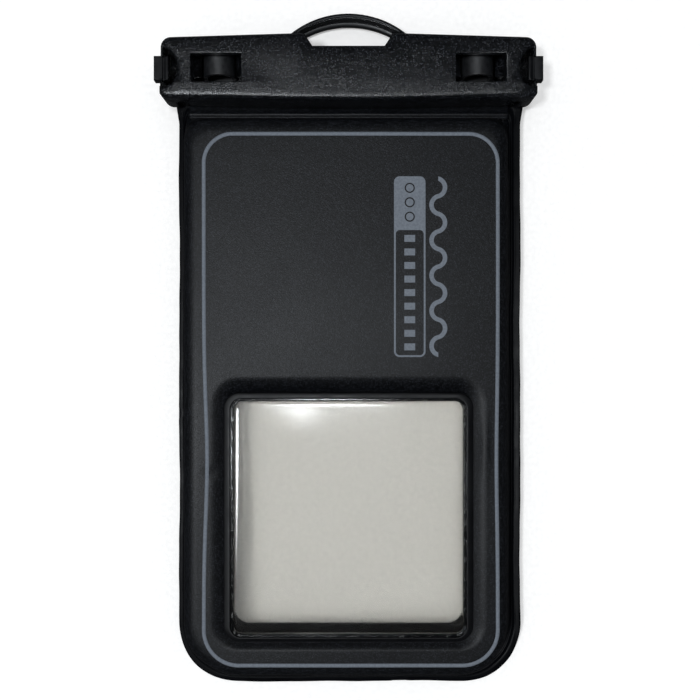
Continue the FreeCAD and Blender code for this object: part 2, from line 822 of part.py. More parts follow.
def printed_waves():
    """Printed row of plain half-round waves beside the box."""
    step = (badge_length - wave_line) / wave_count
    half = wave_line / 2
    ribbon = None
    for number in range(wave_count):
        side = 1 if number % 2 else -1
        low = badge_low + half + step * number
        high = low + step
        middle = (low + high) / 2
        outer = [point(wave_x, low - half, pad_top), point(wave_x, high + half, pad_top)]
        inner = [point(wave_x, low + half, pad_top), point(wave_x, high - half, pad_top)]
        crest = point(wave_x + side * wave_width / 2, middle, pad_top)
        hollow = point(wave_x + side * (wave_width / 2 - wave_line), middle, pad_top)
        wire = Part.Wire([
            arc(outer[0], crest, outer[1]),
            line(outer[1], inner[1]),
            arc(inner[1], hollow, inner[0]),
            line(inner[0], outer[0]),
        ])
        bend = rise(wire, ink)
        ribbon = bend if ribbon is None else ribbon.fuse(bend)
    return ribbon.removeSplitter()


loop = lanyard_loop()
bow = snap_bow()
parts = {
    "back_skin": back_skin(),
    "foam_pad": foam_pad(),
    "pocket_lining": pocket_lining(),
    "window_rim": window_rim(),
    "camera_window": camera_window(),
    "front_frame": front_frame(),
    "front_window": front_window(),
    "neck_flap": neck_flap(),
    "camera_side_jaw": camera_side_jaw(),
    "seal_strip": seal_strip(),
    "screen_side_jaw": screen_side_jaw(),
    "lanyard_loop_right": loop,
    "lanyard_loop_left": mirrored(loop),
    "snap_bow_right": bow,
    "snap_bow_left": mirrored(bow),
    "printed_border": printed_border(),
    "printed_badge": printed_badge(),
    "printed_waves": printed_waves(),
}

os.makedirs("parts", exist_ok=True)
for name, shape in parts.items():
    shape.exportStep(f"parts/{name}.step")
    size = shape.BoundBox
    print(
        f"{name:22s} solids {len(shape.Solids)} valid {shape.isValid()} volume {shape.Volume:9.1f}"
        f"  x {size.XMin:7.2f} {size.XMax:7.2f}  y {size.YMin:7.2f} {size.YMax:7.2f}  z {size.ZMin:6.2f} {size.ZMax:6.2f}"
    )
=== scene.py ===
"""Looks of a foam-padded phone pouch, which lies on its screen side and is seen from straight above."""

import math

import bmesh
import bpy
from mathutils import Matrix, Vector
import numpy as np


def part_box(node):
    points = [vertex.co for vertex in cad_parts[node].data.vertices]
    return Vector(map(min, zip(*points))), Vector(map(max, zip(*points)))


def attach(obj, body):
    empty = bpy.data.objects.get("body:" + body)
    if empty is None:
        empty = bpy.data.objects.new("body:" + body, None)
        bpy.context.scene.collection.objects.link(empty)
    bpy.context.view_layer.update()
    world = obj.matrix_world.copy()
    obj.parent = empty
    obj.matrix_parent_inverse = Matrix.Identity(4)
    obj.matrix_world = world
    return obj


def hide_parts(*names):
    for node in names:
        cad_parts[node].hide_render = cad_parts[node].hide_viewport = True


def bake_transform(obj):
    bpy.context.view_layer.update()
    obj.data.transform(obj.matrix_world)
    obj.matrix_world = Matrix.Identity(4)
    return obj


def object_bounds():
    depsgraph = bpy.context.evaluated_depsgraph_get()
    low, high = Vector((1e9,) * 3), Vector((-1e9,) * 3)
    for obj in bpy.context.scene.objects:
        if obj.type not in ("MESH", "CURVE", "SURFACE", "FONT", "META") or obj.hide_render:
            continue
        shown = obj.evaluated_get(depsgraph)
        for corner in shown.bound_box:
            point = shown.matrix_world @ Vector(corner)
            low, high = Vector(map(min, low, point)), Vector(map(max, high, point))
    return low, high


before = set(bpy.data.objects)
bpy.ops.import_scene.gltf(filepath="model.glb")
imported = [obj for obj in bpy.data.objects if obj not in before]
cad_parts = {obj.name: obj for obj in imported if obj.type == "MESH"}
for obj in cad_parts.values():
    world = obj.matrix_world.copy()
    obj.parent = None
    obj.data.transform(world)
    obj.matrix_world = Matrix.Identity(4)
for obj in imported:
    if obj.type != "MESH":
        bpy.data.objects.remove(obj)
cad_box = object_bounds()

MM = 0.001

# Where the photograph was taken from, and what its frame takes in at the height of the clip's face, in millimetres
PHOTO_FIELD = 231.0
CAMERA_ABOVE_CLIP = 267.0
CAMERA_X = 0.5
CAMERA_Y = -0.66

# Columns of every ring: evenly divided straight sides and quarter-circle corners
SHORT_SIDE = 132
LONG_SIDE = 212
CORNER = 30

# Film and weld, in millimetres
FILM = 0.5
WELD_WIDTH = 2.8
WELD_THICKNESS = 0.6
SHEET_GAP = 0.02
FOOT_INSET = 0.5
PAD_TAPER = 1.2
HEAD_SLOPE = 4.5
NECK = 1.6
MOUTH_LIP = 7.0
MOUTH_HALF = 53.0
LIP_HALF = 54.9
LIP_BACK = 0.5
BASIN_SIDE = 4.3
BASIN_HEAD = 5.4
BASIN_FOOT = 2.6
BASIN_DEPTH = 1.4
BASIN_HEAD_DEPTH = 3.2


def corners(node_name):
    """A CAD node's lowest and highest corner, in millimetres."""
    low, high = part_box(node_name)
    return np.array(low) / MM, np.array(high) / MM


skin_low, skin_high = corners("back_skin")
rim_low, rim_high = corners("window_rim")
pane_low, pane_high = corners("camera_window")
jaw_low, jaw_high = corners("camera_side_jaw")
frame_low, frame_high = corners("front_frame")
front_low, front_high = corners("front_window")
flap_high = corners("neck_flap")[1]
lining_high = corners("pocket_lining")[1]

BAG_HALF = skin_high[0]
BAG_END = skin_low[1]
BAG_NECK = skin_high[1]
SEAM = skin_low[2]
PAD_TOP = skin_high[2]
WELD_TOP = SEAM + WELD_THICKNESS
FOOT_HALF = BAG_HALF - WELD_WIDTH
FOOT_END = BAG_END + WELD_WIDTH
FOOT_HEAD = BAG_NECK - NECK
SLOPE_HEAD = FOOT_HEAD - HEAD_SLOPE
LIP_HEAD = FOOT_HEAD - HEAD_SLOPE * (MOUTH_LIP - SEAM) / (PAD_TOP - SEAM)
BASIN = PAD_TOP - BASIN_DEPTH
HEAD_BASIN = PAD_TOP - BASIN_HEAD_DEPTH


# Curves, rings and meshes

def linear(t):
    return t


def smooth(t):
    """Ease from 0 to 1 with level ends: three times the square less twice the cube, held at 0 and 1 outside."""
    t = np.clip(t, 0.0, 1.0)
    return t * t * (3.0 - 2.0 * t)


def hill(t):
    """Ease that ends level: the sine of a quarter turn."""
    return np.sin(t * math.pi / 2)


def eased(value, start, width):
    """The smooth ease of a value, from its start over a width. A negative width runs downwards."""
    return smooth((value - start) / width)


def held(value, start, width):
    """A straight climb from 0 to 1, from its start over a width, held outside."""
    return np.clip((value - start) / width, 0.0, 1.0)


def bell(x, y, height, centre_x, centre_y, reach_x, reach_y):
    """A bell curve over the plane: height times e to the power of minus the squared distance, measured in reaches."""
    return height * np.exp(-((x - centre_x) / reach_x) ** 2 - ((y - centre_y) / reach_y) ** 2)


def waves(x, y, table):
    """Sum of sine waves over the plane, each given as height, waves per millimetre in x and y, and phase."""
    total = np.zeros(np.broadcast(x, y).shape)
    for height, along_x, along_y, phase in table:
        total += height * np.sin(2 * math.pi * (along_x * x + along_y * y) + phase)
    return total


def rolled(degrees):
    """Easings for an arc that starts level: sine of the angle in plan, one less its cosine in height."""
    top = math.radians(degrees)
    return (
        lambda t: np.sin(t * top) / math.sin(top),
        lambda t: (1 - np.cos(t * top)) / (1 - math.cos(top)),
    )


def rings(half, low, high, low_radius, high_radius):
    """Rounded rectangles about X = 0, one a row: x and y, each rows by columns.

    The columns run anticlockwise from the low side's left end. A side is a line divided evenly, and a corner
    is a quarter circle: centre plus radius times the sine and cosine of the angle turned.
    """
    half, low, high, low_radius, high_radius = (
        np.asarray(v, float)[:, None] for v in (half, low, high, low_radius, high_radius)
    )
    short = np.arange(SHORT_SIDE)[None] / SHORT_SIDE
    long = np.arange(LONG_SIDE)[None] / LONG_SIDE
    turn = np.arange(CORNER)[None] / CORNER * math.pi / 2
    low_x, low_y = half - low_radius, low + low_radius
    high_x, high_y = half - high_radius, high - high_radius
    level = np.ones_like(short)
    upright = np.ones_like(long)
    x = np.hstack([
        low_x * (2 * short - 1), low_x + low_radius * np.sin(turn),
        half * upright, high_x + high_radius * np.cos(turn),
        high_x * (1 - 2 * short), -high_x - high_radius * np.sin(turn),
        -half * upright, -low_x - low_radius * np.cos(turn),
    ])
    y = np.hstack([
        low * level, low_y - low_radius * np.cos(turn),
        low_y + (high_y - low_y) * long, high_y + high_radius * np.sin(turn),
        high * level, high_y + high_radius * np.cos(turn),
        high_y + (low_y - high_y) * long, low_y - low_radius * np.sin(turn),
    ])
    return x, y


def head_share():
    """How much each column belongs to the head side: 1 along it, 0 on the others, eased over its two corners."""
    rise = smooth(np.arange(CORNER) / CORNER)
    return np.concatenate([
        np.zeros(SHORT_SIDE + CORNER + LONG_SIDE), rise, np.ones(SHORT_SIDE), 1 - rise, np.zeros(LONG_SIDE + CORNER),
    ])


HEAD = head_share()


def station(half, low, high, low_radius, high_radius, z, z_head=None):
    """One ring's sizes, its height, and its height along the head side."""
    return np.array([half, low, high, low_radius, high_radius, z, z if z_head is None else z_head])


def inset(by, half, end, head, low_radius, high_radius, z, z_head=None):
    """A station drawn in equally from a half width and from the closed end."""
    return station(half - by, end + by, head, low_radius, high_radius, z, z_head)


def stretch(a, b, count, plan=linear, lift=linear):
    """Rings from a up to but without b: sizes follow one easing of the way along, and heights another."""
    t = (np.arange(count) / count)[:, None]
    return np.hstack([a[:5] + (b[:5] - a[:5]) * plan(t), a[5:] + (b[5:] - a[5:]) * lift(t)])


def carried(rows):
    """Points of a profile carried round the rings, rows by columns by three, in millimetres."""
    x, y = rings(*rows.T[:5])
    z = rows[:, 5:6] + (rows[:, 6:7] - rows[:, 5:6]) * HEAD[None]
    return np.stack([x, y, z], axis=2)


def quads(points, wrap_rows=False):
    """Four-cornered faces of a grid of points, joined round its columns and, for a closed profile, its rows."""
    rows, columns = points.shape[:2]
    r = np.arange(rows if wrap_rows else rows - 1)[:, None]
    c = np.arange(columns)[None]
    r_next, c_next = (r + 1) % rows, (c + 1) % columns
    return np.stack([
        r * columns + c, r * columns + c_next, r_next * columns + c_next, r_next * columns + c,
    ], axis=2).reshape(-1, 4)


def capped(points):
    """The first and last rings closed as single faces, the first one turned over."""
    rows, columns = points.shape[:2]
    first = list(range(columns))[::-1]
    last = [(rows - 1) * columns + c for c in range(columns)]
    return first, last


def face_outwards(mesh):
    """Turns the faces of a closed mesh so that they all look out of it."""
    work = bmesh.new()
    work.from_mesh(mesh)
    bmesh.ops.recalc_face_normals(work, faces=work.faces)
    work.to_mesh(mesh)
    work.free()


def shade_smooth(mesh):
    mesh.polygons.foreach_set("use_smooth", [True] * len(mesh.polygons))


def placed(name, mesh, material, body, replaces):
    """An object for a mesh, with its material, body and replaced CAD nodes."""
    obj = bpy.data.objects.new(name, mesh)
    bpy.context.scene.collection.objects.link(obj)
    mesh.materials.append(material)
    if body:
        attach(obj, body)
    if replaces:
        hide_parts(*replaces)
    return obj


def piece(name, points, faces, material, slot, body="pouch", replaces=(), extra=(), closed=True):
    """A smooth-shaded piece from points in millimetres, four-cornered faces and extra ones."""
    mesh = bpy.data.meshes.new(name)
    flat = points.reshape(-1, 3) * MM
    mesh.from_pydata(flat.tolist(), [], np.asarray(faces).tolist() + [list(f) for f in extra])
    if closed:
        face_outwards(mesh)
    mesh.update()
    shade_smooth(mesh)
    return placed(name, mesh, material, body, replaces)


def thicken(obj):
    """Gives a surface its film's thickness, inwards."""
    wall = obj.modifiers.new("film", "SOLIDIFY")
    wall.thickness = FILM * MM
    wall.offset = -1.0
    wall.use_even_offset = False


def second_material(obj, material, chosen):
    """Gives a piece a second material on the chosen faces."""
    obj.data.materials.append(material)
    obj.data.polygons.foreach_set("material_index", chosen.astype(int))


# Materials

# Sockets of a colour mix, which share their names with its other sockets
MIX_SHARE, MIX_FIRST, MIX_SECOND, MIX_RESULT = 0, 6, 7, 2

# Painted glints, painted highlights in the grain's colour: their share of its scale, how far a spot is full and where
# it ends, and the power of its strength
GLINT_SHARE = 0.86
GLINT_EDGES = (0.1, 0.75)
GLINT_POWER = 2.2
BLOTCH_SCALE = 28.0
COAT_ROUGHNESS = 0.34

# How much lighter and rougher a glossy black gets in its ripple
RIPPLE_LIGHTER = 1.7
RIPPLE_ROUGHER = 1.5

# The clip's face falls away by a depth: from a start to an end, all in metres, and by which share
CROWN_DEPTH = 0.0026
CROWN_HEAD = (0.0960, 0.1160, 1.0)
CROWN_ENDS = (0.0560, 0.0640, 0.5)

# The clear films' scratches: how drawn out they are, how far turned, in radians, and where they show in the noise
SCRATCH_SCALE = (40.0, 1500.0, 1.0)
SCRATCH_TURN = (0.0, 0.0, 0.5)
SCRATCH_SHOWS = (0.55, 0.8)
SCRATCH_ROUGHNESS = 0.03
FILM_IOR = 1.47
FILM_SPECULAR = 0.12
FILM_SHADOW = (0.54, 0.53, 0.51)

# Light of the floor's own and of the surroundings, for each kind of ray that meets them
FLOOR_GLOW = (("Is Camera Ray", 0.27), ("Is Glossy Ray", 0.01), ("Is Transmission Ray", 0.04))
FLOOR_IN_GLOSS = (0.035, 0.035, 0.035)
SKY_BASE, SKY_ON_MATT = 0.025, 0.5
SKY_GLOW = (("Is Camera Ray", 0.975), ("Is Transmission Ray", 0.1))


def new_material(name):
    """A new material, its tree, its shader, and the coordinates of the object that wears it."""
    material = bpy.data.materials.new(name)
    material.use_nodes = True
    tree = material.node_tree
    return material, tree, tree.nodes["Principled BSDF"], node(tree, "ShaderNodeTexCoord").outputs["Object"]


def feed(tree, value, socket):
    """Gives a socket another node's output, a colour or a number."""
    if isinstance(value, bpy.types.NodeSocket):
        tree.links.new(value, socket)
    elif socket.type == "RGBA":
        socket.default_value = (*value, 1)
    else:
        socket.default_value = value


def node(tree, kind, **settings):
    made = tree.nodes.new(kind)
    for key, value in settings.items():
        if key in made.inputs:
            feed(tree, value, made.inputs[key])
        else:
            setattr(made, key, value)
    return made


def reckon(tree, operation, *values, **settings):
    """A sum, product or power of values, each a number or another node's output."""
    made = node(tree, "ShaderNodeMath", operation=operation, **settings)
    for value, socket in zip(values, made.inputs):
        feed(tree, value, socket)
    return made.outputs[0]


def noise(tree, coordinates, scale, detail):
    return node(tree, "ShaderNodeTexNoise", Vector=coordinates, Scale=scale, Detail=detail).outputs["Fac"]


def ramp(tree, value, low, high, from_low=0.3, from_high=0.7):
    """A value spread from one range to another, such as a noise from its middle range to two numbers."""
    settings = {"Value": value, "From Min": from_low, "From Max": from_high, "To Min": low, "To Max": high}
    return node(tree, "ShaderNodeMapRange", **settings).outputs["Result"]


def tint(tree, value, dark, light):
    """Two colours mixed by a value."""
    made = node(tree, "ShaderNodeMix", data_type="RGBA")
    for key, colour in ((MIX_SHARE, value), (MIX_FIRST, dark), (MIX_SECOND, light)):
        feed(tree, colour, made.inputs[key])
    return made.outputs[MIX_RESULT]


def bump(tree, height, distance, normal=None):
    """Normals that follow a height, over the normals given."""
    made = node(tree, "ShaderNodeBump", Strength=1.0, Distance=distance, Height=height)
    if normal is not None:
        feed(tree, normal, made.inputs["Normal"])
    return made.outputs["Normal"]


def soft_edges(tree, radius):
    """Normals that turn over a sharp edge within a radius in millimetres, as on a moulding, or none for no radius."""
    return node(tree, "ShaderNodeBevel", Radius=radius * MM, samples=6).outputs["Normal"] if radius else None


def glow(tree, ray, base, shares):
    """A base strength and the shares of the kinds of ray."""
    for kind, share in shares:
        base = reckon(tree, "MULTIPLY_ADD", ray[kind], share, base)
    return base


def dress(tree, shader, looks):
    """Gives a shader's sockets their numbers, colours and linked outputs."""
    for key, value in looks.items():
        feed(tree, value, shader.inputs[key])


def painted_glints(tree, place, scale):
    """Painted highlights of the grain's flat tops: a round spot in each cell, as strong as the cell's random number
    raised to a power.
    """
    cells = node(tree, "ShaderNodeTexVoronoi", Vector=place, Scale=scale, Randomness=1.0).outputs
    spot = ramp(tree, cells["Distance"], 1.0, 0.0, *GLINT_EDGES)
    chance = node(tree, "ShaderNodeSeparateColor", Color=cells["Color"]).outputs[0]
    return reckon(tree, "MULTIPLY", spot, reckon(tree, "POWER", chance, GLINT_POWER))


def clip_crown(tree, place, normal):
    """Normals of the clip's face, which falls away softly towards its top edge and its ends."""
    apart = node(tree, "ShaderNodeSeparateXYZ", Vector=place).outputs
    falls = []
    for value, (start, end, share) in ((apart["Y"], CROWN_HEAD), (reckon(tree, "ABSOLUTE", apart["X"]), CROWN_ENDS)):
        way = ramp(tree, value, 0.0, 1.0, start, end)
        falls.append(reckon(tree, "MULTIPLY", reckon(tree, "POWER", way, 2.0), -share))
    return bump(tree, reckon(tree, "ADD", *falls), CROWN_DEPTH, normal)


def grained(name, dark, light, grain, depth, roughness, specular, coat=0.0, edge=0.0, crowned=False):
    """Black plastic or film with a fine pressed grain: painted glints in its colour, uneven roughness, bump, a thin
    coat.
    """
    material, tree, shader, place = new_material(name)
    fine = noise(tree, place, grain, detail=1.0)
    broad = noise(tree, place, BLOTCH_SCALE, detail=2.0)
    normal = soft_edges(tree, edge)
    if crowned:
        normal = clip_crown(tree, place, normal)
    # Base colour: the dark colour with painted glints, painted highlights, of the light one
    dress(tree, shader, {
        "Base Color": tint(tree, painted_glints(tree, place, grain * GLINT_SHARE), dark, light),
        "Roughness": ramp(tree, broad, *roughness),
        "Specular IOR Level": specular,
        "Coat Weight": coat,
        "Coat Roughness": COAT_ROUGHNESS,
        "Normal": bump(tree, fine, depth, normal),
    })
    return material


def glossy_black(name, colour, roughness, specular=0.5, ripple=0.00002, ripple_scale=160.0, edge=0.0):
    """Smooth black film or plastic with a faint ripple in its gloss, colour and roughness."""
    material, tree, shader, place = new_material(name)
    wavy = noise(tree, place, ripple_scale, detail=3.0)
    dress(tree, shader, {
        "Base Color": tint(tree, ramp(tree, wavy, 0.0, 1.0), colour, tuple(c * RIPPLE_LIGHTER for c in colour)),
        "Roughness": ramp(tree, wavy, roughness, roughness * RIPPLE_ROUGHER),
        "Specular IOR Level": specular,
        "Normal": bump(tree, wavy, ripple, soft_edges(tree, edge)),
    })
    return material


def clear_film(name, haze, tinted):
    """Clear film with faint scratches: glass for sight, and open to the lamps so that they light what lies behind."""
    material, tree, shader, place = new_material(name)
    drawn_out = node(tree, "ShaderNodeMapping", Vector=place, Scale=SCRATCH_SCALE, Rotation=SCRATCH_TURN)
    scratches = noise(tree, drawn_out.outputs["Vector"], 1.0, detail=2.0)
    soft = noise(tree, place, 22.0, detail=1.0)
    dress(tree, shader, {
        "Base Color": tinted,
        "Transmission Weight": 1.0,
        "IOR": FILM_IOR,
        "Specular IOR Level": FILM_SPECULAR,
        "Roughness": ramp(tree, scratches, haze, haze + SCRATCH_ROUGHNESS, *SCRATCH_SHOWS),
        "Normal": bump(tree, soft, 0.0004),
    })
    shadow = node(tree, "ShaderNodeLightPath").outputs["Is Shadow Ray"]
    through = node(tree, "ShaderNodeBsdfTransparent", Color=FILM_SHADOW)
    mixed = node(tree, "ShaderNodeMixShader")
    for value, socket in zip((shadow, shader.outputs["BSDF"], through.outputs["BSDF"]), mixed.inputs):
        feed(tree, value, socket)
    feed(tree, mixed.outputs["Shader"], tree.nodes["Material Output"].inputs["Surface"])
    return material


def printed_ink(name):
    """Flat grey ink that lets a little of the film's grain show."""
    material, tree, shader, place = new_material(name)
    fine = noise(tree, place, 1500.0, detail=2.0)
    dress(tree, shader, {
        "Base Color": tint(tree, ramp(tree, fine, 0.0, 1.0), (0.116, 0.131, 0.154), (0.158, 0.176, 0.202)),
        "Roughness": 0.6,
        "Specular IOR Level": 0.3,
        "Normal": bump(tree, fine, 0.00002),
    })
    return material


def pale_floor():
    """White floor that keeps shadows: pale, dark for glossy rays, and with a little light of its own."""
    material, tree, shader, place = new_material("pale_floor")
    speck = noise(tree, place, 700.0, detail=3.0)
    pale = tint(tree, ramp(tree, speck, 0.0, 1.0), (0.80, 0.775, 0.75), (0.89, 0.86, 0.83))
    ray = node(tree, "ShaderNodeLightPath").outputs
    mirrored = reckon(tree, "SUBTRACT", ray["Is Glossy Ray"], ray["Is Transmission Ray"], use_clamp=True)
    dress(tree, shader, {
        "Base Color": tint(tree, mirrored, pale, FLOOR_IN_GLOSS),
        "Roughness": 0.9,
        "Specular IOR Level": 0.1,
        "Emission Color": (1, 1, 1),
        "Emission Strength": glow(tree, ray, 0.0, FLOOR_GLOW),
    })
    return material


# Each grained material's second colour is that of its painted glints: painted highlights
SKIN_FILM = grained(
    "skin_film", (0.0014, 0.0017, 0.0024), (0.0270, 0.0295, 0.0365), 3200.0, 0.00009, (0.41, 0.49), 0.22, coat=0.08,
)
CLIP_PLASTIC = grained(
    "clip_plastic", (0.0010, 0.0012, 0.0018), (0.0430, 0.0465, 0.0540), 2700.0, 0.00010, (0.19, 0.23), 0.66,
    edge=0.7, crowned=True,
)
WELD_FILM = glossy_black("weld_film", (0.0010, 0.0012, 0.0018), 0.30, 0.07)
BEAD_FILM = glossy_black("bead_film", (0.0008, 0.0009, 0.0012), 0.12)
RIM_FILM = glossy_black("rim_film", (0.0016, 0.0018, 0.0024), 0.36, 0.30)
BORDER_FILM = glossy_black("border_film", (0.0025, 0.0027, 0.0033), 0.30, 0.3, ripple=0.00004)
SMOOTH_PLASTIC = glossy_black(
    "smooth_plastic", (0.0020, 0.0023, 0.0030), 0.34, 0.3, ripple=0.00001, ripple_scale=500.0, edge=0.3,
)
# Plastic of the snap bows and the arch's ridge and step: its colour painted lighter than the hooks' smooth plastic, a
# painted sheen
PAINTED_SHEEN_PLASTIC = glossy_black(
    "painted_sheen_plastic", (0.0050, 0.0055, 0.0065), 0.38, 0.8, ripple=0.00001, ripple_scale=700.0, edge=0.3,
)
SEAL_RUBBER = glossy_black("seal_rubber", (0.012, 0.012, 0.012), 0.6)
FOAM = grained("foam", (0.03, 0.03, 0.033), (0.06, 0.06, 0.065), 900.0, 0.0002, (0.8, 0.9), 0.3)
CLEAR_PANE = clear_film("clear_pane", 0.115, (0.95, 0.935, 0.91))
CLEAR_FRONT = clear_film("clear_front", 0.05, (0.93, 0.94, 0.935))
INK = printed_ink("grey_ink")


# Pieces

PANEL_WAVES = [
    (0.055, 0.0062, 0.0041, 0.6),
    (0.040, -0.0088, 0.0103, 2.1),
    (0.025, 0.0171, -0.0066, 4.0),
]
EDGE_WAVES = [
    (0.16, 0.0110, 0.0137, 0.4),
    (0.10, 0.0290, -0.0240, 1.9),
    (0.05, 0.0610, 0.0730, 3.3),
]
BEAD_WAVES = [
    (0.075, 0.190, 0.170, 0.7),
    (0.055, -0.330, 0.310, 2.2),
]
PANE_WAVES = [
    (0.10, 0.0070, 0.0052, 1.2),
    (0.06, -0.0120, 0.0150, 0.3),
    (0.03, 0.0260, 0.0190, 2.6),
]
SCREEN_WAVES = [
    (0.10, 0.0082, 0.0061, 0.2),
    (0.05, -0.0160, 0.0125, 1.4),
]
LINING_WAVES = [(0.06, 0.011, 0.016, 0.9)]

# Bell curves of the panel's dent by the left line, of its fold by the right one, and of the pane's swelling: height,
# middle in X and Y, and reach in X and Y
DENT = (0.30, -45.4, -42.0, 2.2, 2.4)
FOLD = (0.22, 45.6, -33.0, 1.5, 9.0)
SWELLING = (0.34, -17.0, -31.0, 17.0, 10.0)
PANEL_LEVEL = 0.12

# How far the padded back's long walls lean to the left, and over how many rings of the weld that fades out
LEAN = 0.9
LEAN_RINGS = 14.0

# How far the welded edge lies to the right and beyond the closed end, how far its waves carry it outwards and up,
# and how far it flares out and up beside the clip
EDGE_RIGHT = 0.35
EDGE_BEYOND = 0.45
EDGE_PUSH = 0.7
EDGE_LIFT = 0.35
FLARE_OUT = 1.9
FLARE_UP = 2.7

# Where eases start and how wide they are: the long walls in X, the edge's waves and its push beyond the end in Y,
# its flare in Y, and the corner that runs up into the clip in X and Y
WALL_EASE = (46.0, 6.0)
WAVER_EASE = (78.0, -12.0)
END_EASE = (-100.0, -10.0)
FLARE_EASE = (77.0, 8.0)
CLIMB_EASES = (52.5, 2.5), (78.5, 3.5)

# Small bulges of the weld: how far it goes in X and Y, and the middle and reaches of the bell curve
BULGES = [
    (0.55, 0.0, -59.0, -22.4, 3.0, 1.3),
    (0.0, 0.60, 17.6, -115.0, 1.9, 3.0),
]

# Tilts of the weld's flange: how far out they start, how wide they are, and how far up they go
RIGHT_TILT = (57.5, 1.3, 0.30)
LEFT_TILT = (57.2, 1.5, -0.20)
END_TILT = (113.2, 1.5, -0.18)


def panel_dip(x, y):
    """Height of the padded panel against its highest level: low waves, a dent by the left line, a fold by the right."""
    return waves(x, y, PANEL_WAVES) - PANEL_LEVEL - bell(x, y, *DENT) + bell(x, y, *FOLD)


def skin_rows():
    """Rings of the padded back, from under the window's rim out to the weld's edge and back beneath it."""
    half, low, high = rim_high[0] - 0.7, rim_low[1], rim_high[1] - 0.6
    under = inset(1.0, half, low, high - 1.0, 5.0, 5.0, BASIN - 0.6, HEAD_BASIN - 0.3)
    floor = station(half, low - 0.1, high, 6.2, 6.2, BASIN, HEAD_BASIN)
    brim = station(half + BASIN_SIDE, low - BASIN_FOOT, high + BASIN_HEAD, 9.3, 9.3, PAD_TOP)
    top_half, top_end = FOOT_HALF - PAD_TAPER - 0.5, FOOT_END + PAD_TAPER
    crown = station(top_half - 4.5, top_end + 5.2, SLOPE_HEAD - 4.4, 14.5, 5.4, PAD_TOP)
    shoulder = station(top_half + 0.4, top_end + 0.1, SLOPE_HEAD + 1.05, 18.0, 7.4, PAD_TOP - 3.5, PAD_TOP - 2.4)
    lip = inset(0.95, FOOT_HALF, FOOT_END, LIP_HEAD - LIP_BACK, 18.0, 4.8, 7.2, MOUTH_LIP)
    foot = inset(FOOT_INSET, FOOT_HALF, FOOT_END, FOOT_HEAD - 0.3, 18.0, 3.8, WELD_TOP + 0.5)
    valley = inset(0.25, FOOT_HALF, FOOT_END, FOOT_HEAD - 0.15, 18.1, 3.5, WELD_TOP + 0.05)
    ridge = inset(2.55, BAG_HALF, BAG_END, FOOT_HEAD + 0.15, 18.2, 3.2, WELD_TOP + 0.42)
    groove = inset(1.95, BAG_HALF, BAG_END, BAG_NECK - 1.1, 18.6, 2.7, WELD_TOP - 0.02)
    band = inset(1.6, BAG_HALF, BAG_END, BAG_NECK - 0.8, 18.9, 2.4, WELD_TOP + 0.16)
    rim = inset(0.4, BAG_HALF, BAG_END, BAG_NECK - 0.2, 19.7, 1.6, WELD_TOP + 0.2)
    edge = inset(0.0, BAG_HALF, BAG_END, BAG_NECK, 20.0, 1.3, WELD_TOP - 0.15)
    base = inset(0.05, BAG_HALF, BAG_END, BAG_NECK, 20.0, 1.3, SEAM + SHEET_GAP)
    back = inset(1.4, BAG_HALF, BAG_END, BAG_NECK - 0.6, 18.8, 2.2, SEAM + SHEET_GAP)
    roll_plan, roll_lift = rolled(78)
    return np.vstack([
        stretch(under, floor, 3),
        stretch(floor, brim, 15, lift=hill),
        stretch(brim, crown, 26),
        stretch(crown, shoulder, 14, roll_plan, roll_lift),
        stretch(shoulder, lip, 7),
        stretch(lip, foot, 4),
        stretch(foot, valley, 3, lift=hill),
        stretch(valley, ridge, 4, lift=smooth),
        stretch(ridge, groove, 4, lift=smooth),
        stretch(groove, band, 3, lift=smooth),
        stretch(band, rim, 3),
        stretch(rim, edge, 4, plan=hill, lift=lambda t: t * t),
        stretch(edge, base, 2),
        stretch(base, back, 2),
        back[None],
    ])


def waver_edge(x, y, z, share):
    """Moves a sheet's edge, by each point's share: to the right, outwards and up by sine waves, and out by the clip.

    Beside the clip, the sheet's corner also runs up into it, over the last of its width.
    """
    waver = waves(x, y, EDGE_WAVES) * share
    before_neck = eased(y, *WAVER_EASE)
    long_side, closed_end = np.abs(x) > 50.0, y < BAG_END + 14.0
    ease_x, ease_y = CLIMB_EASES
    out = np.sign(x) * FLARE_OUT * eased(y, *FLARE_EASE) * share
    up = FLARE_UP * eased(np.abs(x), *ease_x) * eased(y, *ease_y) * share
    x += out + EDGE_RIGHT * share + np.sign(x) * EDGE_PUSH * waver * before_neck * long_side
    y += up - EDGE_PUSH * waver * closed_end - EDGE_BEYOND * share * eased(y, *END_EASE)
    z += EDGE_LIFT * waver * before_neck


